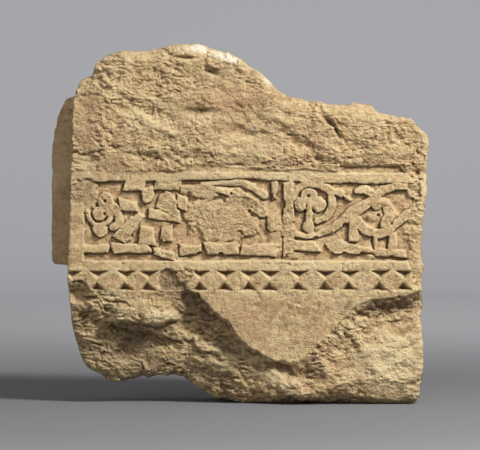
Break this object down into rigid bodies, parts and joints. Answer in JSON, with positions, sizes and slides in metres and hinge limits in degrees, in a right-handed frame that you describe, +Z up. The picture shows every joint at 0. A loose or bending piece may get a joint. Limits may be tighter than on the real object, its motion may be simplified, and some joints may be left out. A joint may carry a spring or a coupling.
{
  "type": "inscribed frieze fragment",
  "caption": "Broken stone frieze block with a carved band of leaves, scrolls and plain strokes over a row of lozenges, and a set-back tongue on its left side.",
  "frame": {"origin": "centre of the footprint of the block's bounding box, on the plane of the flattened bed it stands on", "axes": "+X along the frieze to the viewer's right, +Y from the carved face to the flat back, +Z up"},
  "size_m": [0.6004, 0.1712, 0.5714],
  "materials": {
    "stone": "weathered and tooled, matt"
  },
  "bodies": {
    "root": {"frieze_block": "stone"}
  },
  "joints": []
}
